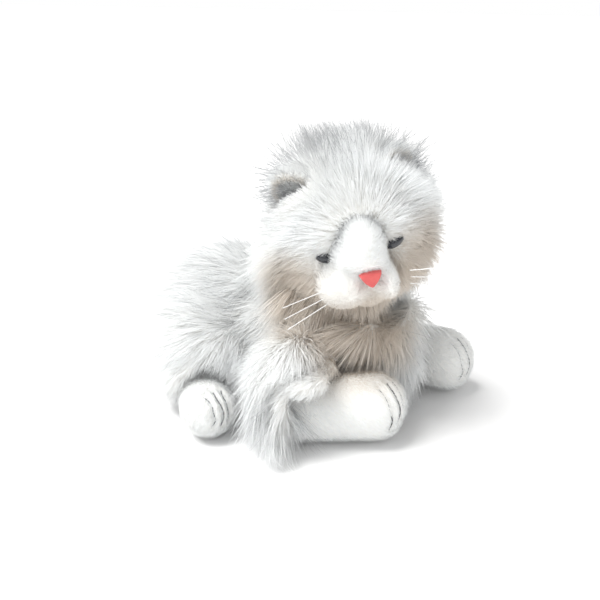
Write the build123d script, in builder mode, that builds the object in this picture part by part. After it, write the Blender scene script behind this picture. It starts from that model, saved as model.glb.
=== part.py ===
"""A lying, long-haired plush cat, as the separate sewn and stuffed pieces it comes apart into.

Millimetres. +Z is up and the cat faces -Y, so +X is the cat's left. The origin is on the floor under
the middle of the trunk. The head is sewn on turned to the cat's right. Long pile counts as part of its
cover: a cover's outer face is where the pile ends, and its inner face is where the stuffing begins.
"""

import os
from math import asin, cos, radians, sin, sqrt

from build123d import *

os.makedirs("parts", exist_ok=True)

# ---- Cloth, stuffing and clearances ----
long_pile = 13.0  # trunk and head pile, with its backing
sleeve_pile = 11.0  # upper arm, haunch and tail pile, with its backing
short_pile = 2.5  # feet, muzzle and ears
backing = 2.0  # the layer that eyes and nose are clamped to
seam_gap = 0.3  # between two soft pieces sewn side by side
joint_gap = 0.5  # round a ball that turns in its socket
sweep_gap = 2.0  # beside a limb that swings past another piece
floor_gap = 0.3  # under the limbs, which lie beside the belly panel
room_size = 600.0  # a cutting block larger than the whole cat

# ---- Trunk: an egg for the rump, one for the back and one for the chest ----
rump_centre, rump_size = (0, 56, 58), (72, 74, 70)
back_centre, back_size = (0, 8, 56), (62, 74, 72)
chest_centre, chest_size = (0, -50, 56), (60, 64, 68)
panel_thickness = 3.0
panel_rear_radius, panel_front_radius = 38.0, 34.0
haunch_centre, haunch_size = (62, 54, 52), (44, 46, 50)
arm_size = (46, 36, 47)
arm_centres = {"left": (77, -34, 50), "right": (-82, -34, 50)}

# ---- Head: turned, tilted and drooped on a neck ball of packed stuffing ----
head_centre = (-17, -51, 156)
head_turn, head_tilt, head_droop = -60.0, -11.0, 12.0
head_size = (72, 59, 69)
neck_centre = (-6, -32, 110)
neck_radius = 32.0
head_sweep = 14.0  # room in the trunk and the arms for the head to nod and turn
muzzle_centre, muzzle_size = (0, -52, -8), (24, 22, 22)
bridge_centre, bridge_size = (0, -56, 8), (20, 21, 27)
pad_centre, pad_size = (15, -61, -13), (17, 18, 16)
chin_centre, chin_size = (0, -54, -27), (14, 14, 10)

# ---- Eyes, nose and whiskers ----
eye_spot, eye_toe_out = (26, 5), 24.0
eye_radius, eye_height = 6.0, 4.0
socket_depth, socket_flare = 40.0, 20.0
shank_radius, shank_length = 2.0, 11.0
washer_radius, washer_thickness, washer_bore = 7.0, 1.6, 2.1
nose_drop = -4.0
nose_width, nose_height, nose_depth = 18.0, 13.0, 5.0
nose_brow, nose_cheek, nose_taper = 1.2, (5.6, -0.8), 12.0
whisker_radius, whisker_length = 0.3, 55.0
whisker_rises, whisker_sweep, whisker_pitch = (-9, -3, 3), -20.0, 4.0

# ---- Ears ----
ear_height, ear_thickness = 36.0, 6.0
ear_foot, ear_bulge, ear_shoulder = (15.0, 0.0), (17.5, 13.0), (13.0, 26.0)  # up one edge
ear_hollow_size, ear_hollow_rise, ear_hollow_depth = (11, 14), 17.0, 1.5
ear_spread, ear_lean, ear_toe_out = 40.0, 8.0, 20.0
ear_root_radius = 41.0  # from the head's centre to the ear's seam
ear_flex = 12.0

# ---- Feet: elbow or hock, then toe ball ----
elbow_radius, paw_radius = 23.0, 26.0
foreleg_right = ((-88, -30), (-60, -91))
foreleg_left = ((66, -46), (46, -122))
foreleg_lift = 20.0
heel_radius, hind_paw_radius = 20.0, 22.5
hind_heel, hind_toe = (78, 50), (104, 31)
stitch_radius = 0.8
paw_stitches = (-9, 0, 9)  # across the foot
hind_stitches = (-8, 0, 8)
stitch_start, stitch_sweep = -25.0, 95.0

# ---- Tail: straight out of the rump, then an arc on the floor round the left haunch ----
tail_radius = 18.0
tail_root, tail_heading = (28, 98), 40.0
tail_straight, tail_bend, tail_curl = 29.0, 42.0, 145.0
tail_swing = 25.0


def mirrored(point, side):
    """The point on the left (side 1) or the right (side -1) of the middle plane."""
    return (side * point[0], *point[1:])


def grown(size, extra):
    """The radii of an egg, each larger by extra."""
    return tuple(radius + extra for radius in size)


def turned(x=0, y=0, z=0):
    """A turn in place about X, Y or Z, in degrees."""
    return Location((0, 0, 0), (x, y, z))


def egg(centre, size, frame=Location()):
    """An ellipsoid of these three radii about centre, in frame."""
    with BuildPart() as ball:
        Sphere(1)
        scale(by=size)
    return frame * Location(centre) * ball.part


def ball_chain(first, last, first_radius, last_radius):
    """Two balls joined by the cone that touches both: a stuffed limb."""
    axis = Vector(*last) - Vector(*first)
    plane = Plane(origin=first, x_dir=axis, z_dir=axis.cross(Vector(0, 0, 1)))
    lean = asin((first_radius - last_radius) / axis.length)
    with BuildPart() as limb:
        with BuildSketch(plane):
            with BuildLine():
                heel = (first_radius * sin(lean), first_radius * cos(lean))
                toe = (axis.length + last_radius * sin(lean), last_radius * cos(lean))
                back = (-first_radius, 0)
                front = (axis.length + last_radius, 0)
                RadiusArc(back, heel, first_radius)
                Line(heel, toe)
                RadiusArc(toe, front, last_radius)
                Line(front, back)
            make_face()
        revolve(axis=Axis(plane.origin, plane.x_dir))
    return limb.part


def fan(plane, reach, root_radius, tip_radius, turns, half_width):
    """The room that a limb along the plane's X sweeps as it turns about the plane's Z."""
    with BuildPart() as room:
        with BuildSketch(plane):
            Circle(root_radius)
            for angle in turns:
                with Locations((reach * cos(radians(angle)), reach * sin(radians(angle)))):
                    Circle(tip_radius)
            make_hull()
        extrude(amount=half_width, both=True)
    return room.part


def block_below(height):
    """Everything under this height."""
    return Location((0, 0, height - room_size / 2)) * Box(room_size, room_size, room_size)


def cut(shape, cutters):
    """The shape less the cutters."""
    with BuildPart() as piece:
        add(shape)
        for cutter in cutters:
            add(cutter, mode=Mode.SUBTRACT)
    return piece.part


def write(piece, name):
    """Labels a finished piece and writes it as its own file."""
    piece.label = name
    export_step(piece, f"parts/{name}.step")


# ---- Frames that several pieces share ----
sides = {"left": 1, "right": -1}
head_frame = Location(head_centre) * turned(z=head_turn) * turned(y=head_tilt) * turned(x=head_droop)


def on_floor(point, radius):
    """The centre of a ball of this radius that lies on the floor at point."""
    return (*point, radius + floor_gap)


def limb_plane(root, tip):
    """At the root, with X along the limb and +Z turning it upwards."""
    axis = Vector(*tip) - Vector(*root)
    return Plane(origin=root, x_dir=axis, z_dir=axis.cross(Vector(0, 0, 1)))


# ---- Rooms: what one piece keeps clear of another ----
forelegs = {}
leg_rooms = {}
for name, (elbow, toe) in {"left": foreleg_left, "right": foreleg_right}.items():
    elbow, toe = on_floor(elbow, elbow_radius), on_floor(toe, paw_radius)
    reach = (Vector(*toe) - Vector(*elbow)).length
    forelegs[name] = (elbow, toe)
    leg_rooms[name] = fan(
        limb_plane(elbow, toe),
        reach,
        elbow_radius + sweep_gap,
        paw_radius + sweep_gap,
        (0, foreleg_lift / 2, foreleg_lift),
        paw_radius + sweep_gap,
    )

tail_start = on_floor(tail_root, tail_radius)
tail_plane = Plane(origin=tail_start, x_dir=Vector(1, 0, 0).rotate(Axis.Z, tail_heading), z_dir=(0, 0, 1))
tail_room = fan(
    tail_plane,
    tail_straight + tail_radius,
    tail_radius + joint_gap,
    tail_radius + sweep_gap,
    (0, tail_swing / 2, tail_swing),
    tail_radius + sweep_gap,
)
neck_room = Location(neck_centre) * Sphere(neck_radius + joint_gap)
head_room = egg((0, 0, 0), grown(head_size, head_sweep), head_frame)
floor_room = block_below(floor_gap)
panel_room = block_below(panel_thickness + seam_gap)
hind_heel_ball, hind_toe_ball = on_floor(hind_heel, heel_radius), on_floor(hind_toe, hind_paw_radius)
hind_room = ball_chain(hind_heel_ball, hind_toe_ball, heel_radius + seam_gap, hind_paw_radius + seam_gap)


def trunk(extra):
    """The trunk's outline, larger by extra."""
    with BuildPart() as shape:
        add(egg(rump_centre, grown(rump_size, extra)))
        add(egg(back_centre, grown(back_size, extra)))
        add(egg(chest_centre, grown(chest_size, extra)))
    return shape.part


# ---- Trunk: long pile over stuffing, closed underneath by the belly panel ----
trunk_room = trunk(seam_gap)
trunk_cutters = [panel_room, neck_room, head_room, tail_room, *leg_rooms.values()]
write(cut(trunk(0), [trunk(-long_pile), *trunk_cutters]), "trunk_cover")
write(cut(trunk(-long_pile - seam_gap), trunk_cutters), "trunk_fill")

with BuildPart() as belly_panel:
    with BuildSketch():
        with Locations(rump_centre[:2]):
            Circle(panel_rear_radius)
        with Locations(chest_centre[:2]):
            Circle(panel_front_radius)
        make_hull()
    extrude(amount=panel_thickness)
write(belly_panel.part, "belly_panel")


# ---- Feet: short pile over stuffing, dark toe stitches drawn into the pile ----
def toe_stitches(heel, toe, radius, offsets):
    """Dark threads over the front of a toe ball, one for each offset across the foot."""
    forward = Vector(toe[0] - heel[0], toe[1] - heel[1], 0).normalized()
    across = forward.cross(Vector(0, 0, 1))
    with BuildPart() as threads:
        for offset in offsets:
            plane = Plane(origin=Vector(*toe) + across * offset, x_dir=forward, z_dir=across)
            with BuildLine(plane) as path:
                CenterArc((0, 0), sqrt(radius**2 - offset**2), stitch_start, stitch_sweep)
            with BuildSketch(Plane(origin=path.line @ 0, z_dir=path.line % 0)):
                Circle(stitch_radius)
            sweep(path=path.line)
    return threads.part


def foot(heel, toe, heel_size, toe_size, offsets, cutters):
    """A foot's cover, stuffing and toe stitches."""
    threads = toe_stitches(heel, toe, toe_size, offsets)
    inside = ball_chain(heel, toe, heel_size - short_pile, toe_size - short_pile)
    core = ball_chain(heel, toe, heel_size - short_pile - seam_gap, toe_size - short_pile - seam_gap)
    return {
        "cover": cut(ball_chain(heel, toe, heel_size, toe_size), [inside, threads, *cutters]),
        "fill": cut(core, cutters),
        "stitches": threads,
    }


for name, (elbow, toe) in forelegs.items():
    for kind, piece in foot(elbow, toe, elbow_radius, paw_radius, paw_stitches, []).items():
        write(piece, f"foreleg_{name}_{kind}")

hind_foot = foot(
    hind_heel_ball, hind_toe_ball, heel_radius, hind_paw_radius, hind_stitches, [trunk_room]
)
for kind, piece in hind_foot.items():
    write(piece, f"hind_foot_left_{kind}")
    write(mirror(piece, about=Plane.YZ), f"hind_foot_right_{kind}")


# ---- Haunches and upper arms: long pile over stuffing, sewn to the trunk's sides ----
def bolster(centre, size, cutters):
    """A long-haired egg of cover and stuffing."""
    return {
        "cover": cut(egg(centre, size), [egg(centre, grown(size, -sleeve_pile)), *cutters]),
        "fill": cut(egg(centre, grown(size, -sleeve_pile - seam_gap)), cutters),
    }


for kind, piece in bolster(haunch_centre, haunch_size, [trunk_room, floor_room, hind_room]).items():
    write(piece, f"haunch_left_{kind}")
    write(mirror(piece, about=Plane.YZ), f"haunch_right_{kind}")

for name, centre in arm_centres.items():
    arm_cutters = [trunk_room, floor_room, head_room, leg_rooms[name]]
    for kind, piece in bolster(centre, arm_size, arm_cutters).items():
        write(piece, f"upper_arm_{name}_{kind}")

# ---- Tail ----


def tail(radius):
    """The tail's outline: a bent tube with a ball at its root and one at its tip."""
    with BuildPart() as shape:
        with BuildLine(tail_plane) as path:
            straight = Line((0, 0), (tail_straight, 0))
            CenterArc((tail_straight, -tail_bend), tail_bend, 90, -tail_curl)
        with BuildSketch(Plane(origin=straight @ 0, z_dir=straight % 0)):
            Circle(radius)
        sweep(path=path.wire())
        with Locations(path.wire() @ 0, path.wire() @ 1):
            Sphere(radius)
    return shape.part


write(cut(tail(tail_radius), [tail(tail_radius - sleeve_pile)]), "tail_cover")
write(tail(tail_radius - sleeve_pile - seam_gap), "tail_fill")

# ---- Neck: a ball of packed stuffing between the trunk and the head ----
with BuildPart(Location(neck_centre)) as neck_core:
    Sphere(neck_radius)
write(neck_core.part, "neck_core")


# ---- Frames on the head ----
def eye_frame(side):
    """On the backing's outer face at the eye, with +Z looking out."""
    across, up = eye_spot
    skin = grown(head_size, -long_pile)
    depth = -skin[1] * sqrt(1 - (across / skin[0]) ** 2 - (up / skin[2]) ** 2) - backing
    return head_frame * Location((side * across, depth, up)) * turned(z=side * eye_toe_out) * turned(x=90)


def ear_frame(side):
    """At the middle of the ear's seam, with +Z up the ear, +X along the seam and -Y to its front."""
    frame = head_frame * turned(y=side * ear_spread) * Location((0, -ear_lean, ear_root_radius))
    return frame * turned(z=side * ear_toe_out)


eye_frames = {name: eye_frame(side) for name, side in sides.items()}
ear_frames = {name: ear_frame(side) for name, side in sides.items()}
bridge_front = sqrt(1 - ((nose_drop - bridge_centre[2]) / bridge_size[2]) ** 2) * bridge_size[1]
nose_back = -bridge_centre[1] + bridge_front - nose_depth / 2
nose_frame = head_frame * Location((0, -nose_back, nose_drop)) * turned(x=90)

# ---- Rooms on the head ----


def button_room(frame):
    """The space of a shank and its washer, with seam_gap all round."""
    with BuildPart() as room:
        with BuildSketch(Plane(frame)):
            Circle(shank_radius + seam_gap)
        extrude(amount=-shank_length - seam_gap)
        with BuildSketch(Plane(frame).offset(-backing)):
            Circle(washer_radius + seam_gap)
        extrude(amount=-washer_thickness - 2 * seam_gap)
    return room.part


def face_room(extra):
    """The muzzle's whole outline, larger by extra."""
    with BuildPart() as shape:
        add(egg(muzzle_centre, grown(muzzle_size, extra), head_frame))
        add(egg(bridge_centre, grown(bridge_size, extra), head_frame))
        add(egg(chin_centre, grown(chin_size, extra), head_frame))
        for side in sides.values():
            add(egg(mirrored(pad_centre, side), grown(pad_size, extra), head_frame))
    return shape.part


button_rooms = [button_room(frame) for frame in (*eye_frames.values(), nose_frame)]
eye_rooms = []
for frame in eye_frames.values():
    with BuildPart() as socket:
        with BuildSketch(Plane(frame)):
            Circle(eye_radius + seam_gap)
        extrude(amount=socket_depth, taper=-socket_flare)
    eye_rooms.append(socket.part)

ear_rooms = []
for frame in ear_frames.values():
    ear_rooms.append(
        fan(
            Plane(frame * turned(y=-90)),
            ear_height,
            ear_thickness / 2 + sweep_gap,
            ear_thickness / 2 + sweep_gap,
            (-ear_flex, 0, ear_flex),
            ear_bulge[0] + sweep_gap,
        )
    )

with BuildPart() as nose_pocket:
    with BuildSketch(Plane(nose_frame).offset(-seam_gap)):
        with Locations((0, nose_brow / 2)):
            Rectangle(nose_width + 2 * seam_gap, nose_height + nose_brow + 2 * seam_gap)
    extrude(amount=2 * nose_depth)
nose_room = nose_pocket.part
skull_room = egg((0, 0, 0), grown(head_size, -long_pile), head_frame)
muzzle_room = egg(muzzle_centre, grown(muzzle_size, seam_gap), head_frame)
bridge_room = egg(bridge_centre, grown(bridge_size, seam_gap), head_frame)
pad_rooms = [
    egg(mirrored(pad_centre, side), grown(pad_size, seam_gap), head_frame)
    for side in sides.values()
]

# ---- Head and muzzle ----
head_cutters = [neck_room, *button_rooms, *ear_rooms]
head_shell = egg((0, 0, 0), head_size, head_frame)
write(cut(head_shell, [skull_room, face_room(seam_gap), *eye_rooms, *head_cutters]), "head_cover")
head_core = egg((0, 0, 0), grown(head_size, -long_pile - seam_gap), head_frame)
write(cut(head_core, [muzzle_room, *head_cutters]), "head_fill")
write(cut(egg(muzzle_centre, muzzle_size, head_frame), [nose_room, *button_rooms]), "muzzle_fill")
bridge_egg = egg(bridge_centre, bridge_size, head_frame)
write(cut(bridge_egg, [muzzle_room, skull_room, nose_room, *button_rooms]), "muzzle_bridge")
chin_egg = egg(chin_centre, chin_size, head_frame)
write(cut(chin_egg, [muzzle_room, skull_room, *pad_rooms]), "chin_pad")

for name, side in sides.items():
    pad_egg = egg(mirrored(pad_centre, side), pad_size, head_frame)
    with BuildPart() as whisker_pad:
        add(pad_egg)
        middle = head_frame * Location((side * seam_gap / 2, 0, 0)) * turned(y=side * 90)
        split(bisect_by=Plane(middle), keep=Keep.TOP)
        for cutter in (muzzle_room, skull_room, bridge_room, nose_room, *eye_rooms, *button_rooms):
            add(cutter, mode=Mode.SUBTRACT)
    write(whisker_pad.part, f"whisker_pad_{name}")

    with BuildPart() as whiskers:
        for row, rise in enumerate(whisker_rises):
            root = Location(mirrored(pad_centre, side)) * Location((0, 0, (row - 1) * whisker_pitch))
            lean = turned(z=side * whisker_sweep) * turned(y=side * (90 - rise))
            with BuildSketch(Plane(head_frame * root * lean)):
                Circle(whisker_radius)
            extrude(amount=whisker_length)
        add(pad_egg, mode=Mode.SUBTRACT)
    write(whiskers.part, f"whiskers_{name}")

# ---- Eyes and nose: moulded, each on a shank that a washer locks behind the backing ----
for name, frame in eye_frames.items():
    with BuildPart() as eye:
        add(egg((0, 0, 0), (eye_radius, eye_radius, eye_height), frame))
        split(bisect_by=Plane(frame), keep=Keep.TOP)
        with BuildSketch(Plane(frame)):
            Circle(shank_radius)
        extrude(amount=-shank_length)
    write(eye.part, f"eye_{name}")

with BuildPart() as nose:
    with BuildSketch(Plane(nose_frame)):
        with BuildLine():
            top_left = (-nose_width / 2, nose_height / 2)
            top_right = (nose_width / 2, nose_height / 2)
            point = (0, -nose_height / 2)
            ThreePointArc(top_left, (0, nose_height / 2 + nose_brow), top_right)
            ThreePointArc(top_right, nose_cheek, point)
            ThreePointArc(point, mirrored(nose_cheek, -1), top_left)
        make_face()
    extrude(amount=nose_depth, taper=nose_taper)
    with BuildSketch(Plane(nose_frame)):
        Circle(shank_radius)
    extrude(amount=-shank_length)
write(nose.part, "nose")

shank_frames = {f"eye_{name}": eye_frames[name] for name in sides}
shank_frames["nose"] = nose_frame
for name, frame in shank_frames.items():
    with BuildPart() as washer:
        with BuildSketch(Plane(frame).offset(-backing - seam_gap)):
            Circle(washer_radius)
            Circle(washer_bore, mode=Mode.SUBTRACT)
        extrude(amount=-washer_thickness)
    write(washer.part, f"{name}_washer")

# ---- Ears: a back panel and a hollowed lining, sewn together round the rim ----
for name, frame in ear_frames.items():
    front = Plane(frame * turned(x=90))
    with BuildPart() as ear:
        with BuildSketch(front):
            with BuildLine():
                Line(mirrored(ear_foot, -1), ear_foot)
                ThreePointArc(ear_foot, ear_bulge, ear_shoulder)
                ThreePointArc(ear_shoulder, (0, ear_height), mirrored(ear_shoulder, -1))
                ThreePointArc(mirrored(ear_shoulder, -1), mirrored(ear_bulge, -1), mirrored(ear_foot, -1))
            make_face()
        extrude(amount=ear_thickness / 2, both=True)
    with BuildPart() as hollow:
        with BuildSketch(front.offset(ear_thickness / 2)):
            with Locations((0, ear_hollow_rise)):
                Ellipse(*ear_hollow_size)
        extrude(amount=-ear_hollow_depth)
    with BuildPart() as ear_back:
        add(ear.part)
        split(bisect_by=front, keep=Keep.BOTTOM)
    write(ear_back.part, f"ear_{name}_back")
    with BuildPart() as ear_lining:
        add(ear.part)
        split(bisect_by=front.offset(seam_gap), keep=Keep.TOP)
        add(hollow.part, mode=Mode.SUBTRACT)
    write(ear_lining.part, f"ear_{name}_lining")
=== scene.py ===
"""A lying plush cat with a long white coat, laid out as an add-on and run as a script."""
import math

import bmesh
import bpy
import numpy as np
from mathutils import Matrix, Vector
from mathutils.bvhtree import BVHTree


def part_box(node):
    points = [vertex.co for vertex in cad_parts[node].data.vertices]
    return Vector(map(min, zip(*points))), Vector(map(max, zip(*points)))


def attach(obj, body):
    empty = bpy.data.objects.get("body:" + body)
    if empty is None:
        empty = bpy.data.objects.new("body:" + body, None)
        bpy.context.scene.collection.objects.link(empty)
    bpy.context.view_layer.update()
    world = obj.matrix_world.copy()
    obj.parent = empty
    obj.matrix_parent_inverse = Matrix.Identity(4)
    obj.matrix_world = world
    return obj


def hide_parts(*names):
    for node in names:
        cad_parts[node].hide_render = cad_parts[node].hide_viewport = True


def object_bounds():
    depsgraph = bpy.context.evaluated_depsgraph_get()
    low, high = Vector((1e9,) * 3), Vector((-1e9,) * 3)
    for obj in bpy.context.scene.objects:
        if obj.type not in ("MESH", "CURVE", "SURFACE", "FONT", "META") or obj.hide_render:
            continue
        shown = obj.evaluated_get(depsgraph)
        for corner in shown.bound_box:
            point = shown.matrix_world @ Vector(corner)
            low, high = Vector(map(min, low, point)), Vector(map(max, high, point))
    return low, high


bl_info = {
    "name": "Plush cat",
    "version": (1, 0, 0),
    "blender": (4, 5, 0),
    "location": "3D View > Sidebar > Plush cat",
    "description": "Sews, stuffs and combs a lying plush cat round a packed frame",
    "category": "Object",
}

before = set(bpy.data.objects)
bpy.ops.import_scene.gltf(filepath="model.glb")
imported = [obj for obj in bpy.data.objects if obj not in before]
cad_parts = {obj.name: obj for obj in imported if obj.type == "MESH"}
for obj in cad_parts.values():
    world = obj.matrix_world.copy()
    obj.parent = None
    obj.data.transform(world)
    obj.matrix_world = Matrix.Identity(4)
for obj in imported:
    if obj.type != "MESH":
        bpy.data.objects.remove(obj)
CAD_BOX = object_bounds()
SIDES = ("left", "right")
MERGE = 1e-6  # corners nearer than this are one
INSET_STEPS = 3  # a skin is drawn in a little at a time, so that it doesn't cross itself
BALL_DETAIL = 4


def corners(node):
    """Lowest and highest corner of a frame node, as arrays."""
    low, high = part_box(node)
    return np.array(low), np.array(high)


def middle(node):
    low, high = corners(node)
    return (low + high) / 2


NOSE = middle("nose")
EYES = {side: middle(f"eye_{side}") for side in SIDES}
EARS = {side: middle(f"ear_{side}_back") for side in SIDES}
HEAD = middle("head_cover")
BROW = (EYES["left"] + EYES["right"]) / 2
FACING = NOSE - HEAD
FACING /= np.linalg.norm(FACING)
ACROSS = EYES["left"] - EYES["right"]
ACROSS /= np.linalg.norm(ACROSS)
# How far the toe lines lie round to one side, in degrees, and the radius of the foot's ball
TOE_TURNS = {"foreleg_right": -40.0, "hind_foot_right": 28.0}
TOE_GROOVE, TOE_GROOVE_WIDTH = 0.0034, 0.003  # the cloth drawn in beside a toe line
FORELEG_FULLNESS = 1.09
EYE_WIDER, EYE_LOWER, EYE_TILT, EYE_OUT = 1.35, 0.7, math.radians(18), 0.002
FLOOR_GAP = 0.0004  # under the feet
TOE_REACH = {"foreleg_right": 0.026, "hind_foot_right": 0.0225}
# Painted shade under the head: the coat warmer and deeper in colour at the throat, under the near cheek and
# on the far side. Each is a centre, and its reach in full and at all
PAINTED_SHADE_SPOTS = (
    (NOSE - FACING * 0.030 - [0, 0, 0.058], 0.026, 0.070),
    (EYES["right"] - ACROSS * 0.024 - FACING * 0.010 - [0, 0, 0.034], 0.014, 0.048),
    (EYES["left"] + ACROSS * 0.030 - FACING * 0.010 - [0, 0, 0.036], 0.016, 0.058),
)


# ---------------------------------------------------------------- fields on a surface


def unit(v):
    return v / np.maximum(np.linalg.norm(v, axis=-1, keepdims=True), 1e-9)


def ease(x, start, end):
    """0 before start, 1 after end, smooth in between."""
    t = np.clip((x - start) / (end - start), 0, 1)
    return t * t * (3 - 2 * t)


def lie_flat(flow, normal):
    """flow laid along the surface, one unit long."""
    return unit(flow - normal * (flow * normal).sum(1, keepdims=True))


def apart(points, spot):
    return np.linalg.norm(points - np.asarray(spot), axis=1)


def mix(a, b, share):
    share = np.asarray(share)
    if np.ndim(a) == 2 or np.ndim(b) == 2:
        share = share[:, None]
    return a * (1 - share) + b * share


def places(mesh):
    co = np.zeros(len(mesh.vertices) * 3)
    mesh.vertices.foreach_get("co", co)
    return co.reshape(-1, 3)


def outward(mesh):
    no = np.zeros(len(mesh.vertices) * 3)
    mesh.vertex_normals.foreach_get("vector", no)
    return no.reshape(-1, 3)


def move(mesh, points):
    mesh.vertices.foreach_set("co", points.astype(np.float32).ravel())
    mesh.update()


def give(mesh, name, values):
    """Stores a number or a vector at each vertex."""
    kind, key = ("FLOAT_VECTOR", "vector") if values.ndim == 2 else ("FLOAT", "value")
    layer = mesh.attributes.get(name) or mesh.attributes.new(name, kind, "POINT")
    layer.data.foreach_set(key, values.astype(np.float32).ravel())


def surface(mesh):
    """A search tree over a mesh."""
    return BVHTree.FromPolygons(
        [v.co for v in mesh.vertices], [tuple(p.vertices) for p in mesh.polygons]
    )


def distance_to(tree, points):
    return np.array([tree.find_nearest(Vector(p))[3] for p in points])


# ---------------------------------------------------------------- making meshes


def add_object(name, mesh):
    ob = bpy.data.objects.new(name, mesh)
    bpy.context.scene.collection.objects.link(ob)
    return ob


def evaluated_mesh(ob):
    """The mesh with its modifiers in it."""
    bpy.context.view_layer.update()
    graph = bpy.context.evaluated_depsgraph_get()
    return bpy.data.meshes.new_from_object(ob.evaluated_get(graph), depsgraph=graph)


def with_modifiers(mesh, *wanted):
    """mesh put through modifiers, each a kind and its settings."""
    ob = add_object("Work", mesh)
    for kind, settings in wanted:
        mod = ob.modifiers.new(kind.title(), kind)
        for key, value in settings.items():
            setattr(mod, key, value)
    made = evaluated_mesh(ob)
    bpy.data.objects.remove(ob)
    return made


def nodes_mesh(*nodes, rounds=()):
    """A copy of frame nodes in one mesh, with balls that fill the boxes of the nodes in rounds."""
    bm = bmesh.new()
    for n in rounds:
        low, high = corners(n)
        made = bmesh.ops.create_icosphere(bm, subdivisions=BALL_DETAIL, radius=0.5)
        for v in made["verts"]:
            v.co = Vector(np.array(v.co) * (high - low) + (low + high) / 2)
    for n in nodes:
        bm.from_mesh(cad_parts[n].data)
    bmesh.ops.remove_doubles(bm, verts=bm.verts, dist=MERGE)
    mesh = bpy.data.meshes.new("Nodes")
    bm.to_mesh(mesh)
    bm.free()
    return mesh


def loose_bodies(bm):
    """The vertices of each body that isn't joined to the others."""
    bm.verts.ensure_lookup_table()
    seen, found = set(), []
    for v in bm.verts:
        if v.index in seen:
            continue
        stack, body = [v], []
        seen.add(v.index)
        while stack:
            w = stack.pop()
            body.append(w)
            for e in w.link_edges:
                o = e.other_vert(w)
                if o.index not in seen:
                    seen.add(o.index)
                    stack.append(o)
        found.append(body)
    return found


def largest_body(mesh):
    """mesh without the small loose bits inside it."""
    bm = bmesh.new()
    bm.from_mesh(mesh)
    bits = sorted(loose_bodies(bm), key=len)[:-1]
    bmesh.ops.delete(bm, geom=[v for bit in bits for v in bit], context="VERTS")
    bmesh.ops.recalc_face_normals(bm, faces=bm.faces)
    bm.to_mesh(mesh)
    bm.free()
    return mesh


def block(low, high):
    """A plain block, as an object for cutting with."""
    bm = bmesh.new()
    bmesh.ops.create_cube(bm, size=1.0)
    low, high = np.minimum(low, high), np.maximum(low, high)
    for v in bm.verts:
        v.co = Vector((np.array(v.co) + 0.5) * (high - low) + low)
    mesh = bpy.data.meshes.new("Block")
    bm.to_mesh(mesh)
    bm.free()
    return add_object("Block", mesh)


def stuffed_form(nodes, voxel, inset, smoothing=6, cutters=(), rounds=()):
    """One closed form round several frame nodes, moved inwards by inset.

    inset is a number, or a function of points and normals.
    """
    remesh = ("REMESH", {"mode": "VOXEL", "voxel_size": voxel})
    smooth = ("SMOOTH", {"factor": 0.5, "iterations": smoothing})
    one_pass = ("SMOOTH", {"factor": 0.5, "iterations": 1})
    form = with_modifiers(nodes_mesh(*nodes, rounds=rounds), remesh, smooth)
    form = largest_body(form)
    for cutter in cutters:
        cut_away = ("BOOLEAN", {"operation": "DIFFERENCE", "object": cutter})
        form = with_modifiers(form, cut_away)
        bpy.data.objects.remove(cutter)
    if cutters:
        form = with_modifiers(form, remesh, smooth)
    points, normals = places(form), outward(form)
    depth = inset(points, normals) if callable(inset) else np.full(len(points), inset)
    for _ in range(INSET_STEPS):
        move(form, places(form) - outward(form) * (depth / INSET_STEPS)[:, None])
        form = with_modifiers(form, one_pass)
    form = with_modifiers(form, remesh, smooth)
    form = largest_body(form)
    form.polygons.foreach_set("use_smooth", [True] * len(form.polygons))
    return form


def sew(name, mesh, body, material, slot, *replaced):
    """A finished mesh as a piece that rides on a body."""
    ob = add_object(name, mesh)
    mesh.name = name
    mesh.materials.clear()
    mesh.materials.append(material)
    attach(ob, body)
    if replaced:
        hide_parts(*replaced)
    return ob


# ---------------------------------------------------------------- node graphs


class Graph:
    """Writes a node tree a node at a time."""

    def __init__(self, tree):
        self.tree = tree

    def put(self, kind, inputs=None, **settings):
        node = self.tree.nodes.new(kind)
        for key, value in settings.items():
            setattr(node, key, value)
        for key, value in (inputs or {}).items():
            socket = node.inputs[key]
            if isinstance(value, bpy.types.NodeSocket):
                self.tree.links.new(value, socket)
            else:
                socket.default_value = value
        return node

    def math(self, operation, *values, clamp=False):
        node = self.put("ShaderNodeMath", dict(enumerate(values)), operation=operation)
        node.use_clamp = clamp
        return node.outputs[0]

    def vector(self, operation, *values):
        node = self.put(
            "ShaderNodeVectorMath", dict(enumerate(values)), operation=operation
        )
        return node.outputs["Value" if operation in ("DOT_PRODUCT", "DISTANCE") else 0]

    def times(self, vector, number):
        node = self.put(
            "ShaderNodeVectorMath", {0: vector, "Scale": number}, operation="SCALE"
        )
        return node.outputs[0]

    def total(self, first, *rest):
        for value in rest:
            first = self.vector("ADD", first, value)
        return first

    def parts(self, vector):
        return self.put("ShaderNodeSeparateXYZ", {0: vector}).outputs


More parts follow.
